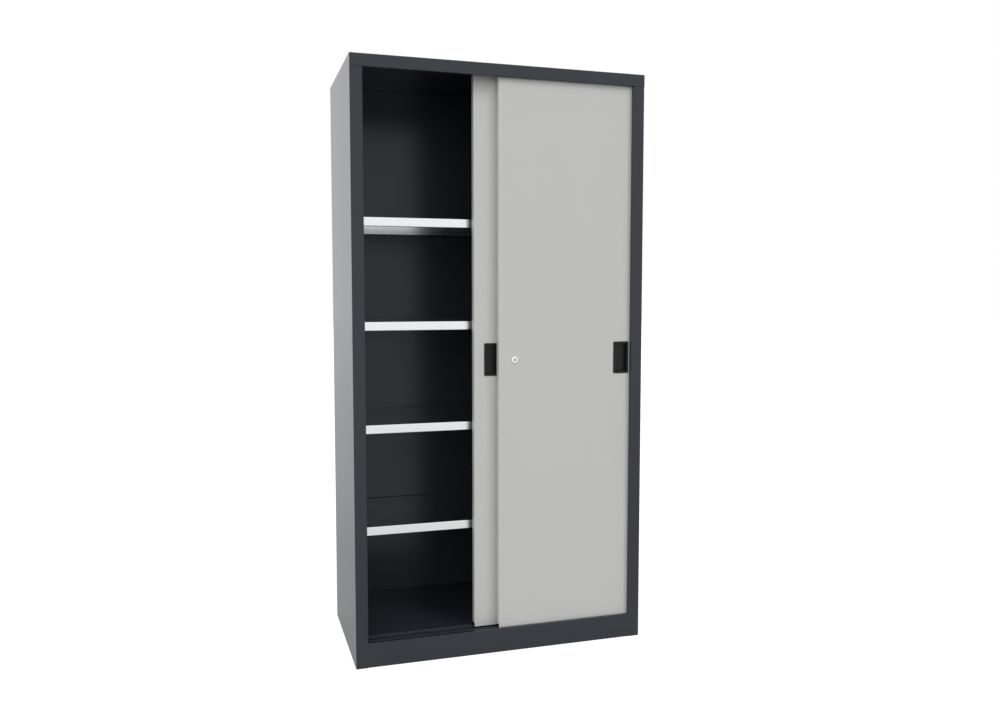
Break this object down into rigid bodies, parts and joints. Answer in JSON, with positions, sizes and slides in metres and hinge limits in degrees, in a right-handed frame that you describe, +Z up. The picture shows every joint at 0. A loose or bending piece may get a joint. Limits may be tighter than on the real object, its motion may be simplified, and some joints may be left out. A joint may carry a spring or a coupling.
{
  "type": "sliding door cabinet",
  "caption": "Tall sheet steel cupboard with shelves on clips behind overlapping sliding doors, with flush cup handles and a cam lock.",
  "frame": {"origin": "on the ground, under the middle of the base", "axes": "+X to the right seen from the front, +Y from the front into the cabinet, +Z up"},
  "size_m": [0.998, 0.518, 1.95],
  "materials": {
    "anthracite_powder_coat": "fine powder coat, satin",
    "light_grey_powder_coat": "fine powder coat, satin",
    "galvanised_steel": "bright zinc coated sheet",
    "black_plastic": "moulded, finely textured",
    "natural_nylon": "moulded",
    "black_rubber": "moulded",
    "nickel_plate": "nickel plated die casting"
  },
  "bodies": {
    "cabinet": {"left_side_panel": "anthracite_powder_coat", "right_side_panel": "anthracite_powder_coat", "roof_panel": "anthracite_powder_coat", "back_panel": "anthracite_powder_coat", "plinth_panel": "anthracite_powder_coat", "floor_panel": "anthracite_powder_coat", "front_bottom_rail": "anthracite_powder_coat", "rear_bottom_rail": "anthracite_powder_coat", "front_top_channel": "galvanised_steel", "rear_top_channel": "galvanised_steel", "left_door_buffer": "black_rubber", "right_door_buffer": "black_rubber", "front_left_upright": "galvanised_steel", "front_right_upright": "galvanised_steel", "rear_left_upright": "galvanised_steel", "rear_right_upright": "galvanised_steel", "shelf_1": "galvanised_steel", "shelf_1_clip_front_left": "galvanised_steel", "shelf_1_clip_front_right": "galvanised_steel", "shelf_1_clip_rear_left": "galvanised_steel", "shelf_1_clip_rear_right": "galvanised_steel", "shelf_2": "galvanised_steel", "shelf_2_clip_front_left": "galvanised_steel", "shelf_2_clip_front_right": "galvanised_steel", "shelf_2_clip_rear_left": "galvanised_steel", "shelf_2_clip_rear_right": "galvanised_steel", "shelf_3": "galvanised_steel", "shelf_3_clip_front_left": "galvanised_steel", "shelf_3_clip_front_right": "galvanised_steel", "shelf_3_clip_rear_left": "galvanised_steel", "shelf_3_clip_rear_right": "galvanised_steel", "shelf_4": "galvanised_steel", "shelf_4_clip_front_left": "galvanised_steel", "shelf_4_clip_front_right": "galvanised_steel", "shelf_4_clip_rear_left": "galvanised_steel", "shelf_4_clip_rear_right": "galvanised_steel"},
    "rear_door": {"rear_door_panel": "light_grey_powder_coat", "rear_door_stiffener": "light_grey_powder_coat", "rear_door_handle": "black_plastic", "rear_door_roller_bracket_left": "galvanised_steel", "rear_door_roller_bracket_right": "galvanised_steel", "rear_door_guide_left": "natural_nylon", "rear_door_guide_right": "natural_nylon", "lock_strike": "galvanised_steel"},
    "rear_door_roller_left": {"rear_door_roller_left": "natural_nylon"},
    "rear_door_roller_right": {"rear_door_roller_right": "natural_nylon"},
    "front_door": {"front_door_panel": "light_grey_powder_coat", "front_door_stiffener": "light_grey_powder_coat", "front_door_handle": "black_plastic", "front_door_roller_bracket_left": "galvanised_steel", "front_door_roller_bracket_right": "galvanised_steel", "front_door_guide_left": "natural_nylon", "front_door_guide_right": "natural_nylon", "lock_housing": "nickel_plate", "lock_nut": "galvanised_steel"},
    "front_door_roller_left": {"front_door_roller_left": "natural_nylon"},
    "front_door_roller_right": {"front_door_roller_right": "natural_nylon"},
    "lock_barrel": {"lock_plug": "nickel_plate", "lock_cam": "galvanised_steel", "lock_cam_screw": "galvanised_steel"}
  },
  "joints": [
    {"name": "rear_door_slide", "type": "slide", "parent": "cabinet", "child": "rear_door", "axis": [1, 0, 0], "range_m": [-0.39984, 0.07616]},
    {"name": "front_door_slide", "type": "slide", "parent": "cabinet", "child": "front_door", "axis": [1, 0, 0], "range_m": [-0.476, 0]},
    {"name": "lock_turn", "type": "hinge", "parent": "front_door", "child": "lock_barrel", "pos_m": [0.0415, -0.244, 0.989], "axis": [0, 1, 0], "range_deg": [0, 90]},
    {"name": "rear_roller_left_spin", "type": "hinge", "parent": "rear_door", "child": "rear_door_roller_left", "pos_m": [-0.03066, -0.1985, 0.0913], "axis": [0, 1, 0], "range_deg": [-1920, 370]},
    {"name": "rear_roller_right_spin", "type": "hinge", "parent": "rear_door", "child": "rear_door_roller_right", "pos_m": [0.35434, -0.1985, 0.0913], "axis": [0, 1, 0], "range_deg": [-1920, 370]},
    {"name": "front_roller_left_spin", "type": "hinge", "parent": "front_door", "child": "front_door_roller_left", "pos_m": [0.0455, -0.2315, 0.0913], "axis": [0, 1, 0], "range_deg": [-2280, 10]},
    {"name": "front_roller_right_spin", "type": "hinge", "parent": "front_door", "child": "front_door_roller_right", "pos_m": [0.4305, -0.2315, 0.0913], "axis": [0, 1, 0], "range_deg": [-2280, 10]}
  ],
  "couplings": [
    {"joint": "rear_roller_left_spin", "follows": "rear_door_slide", "rad_per_m": 83.333},
    {"joint": "rear_roller_right_spin", "follows": "rear_door_slide", "rad_per_m": 83.333},
    {"joint": "front_roller_left_spin", "follows": "front_door_slide", "rad_per_m": 83.333},
    {"joint": "front_roller_right_spin", "follows": "front_door_slide", "rad_per_m": 83.333}
  ]
}
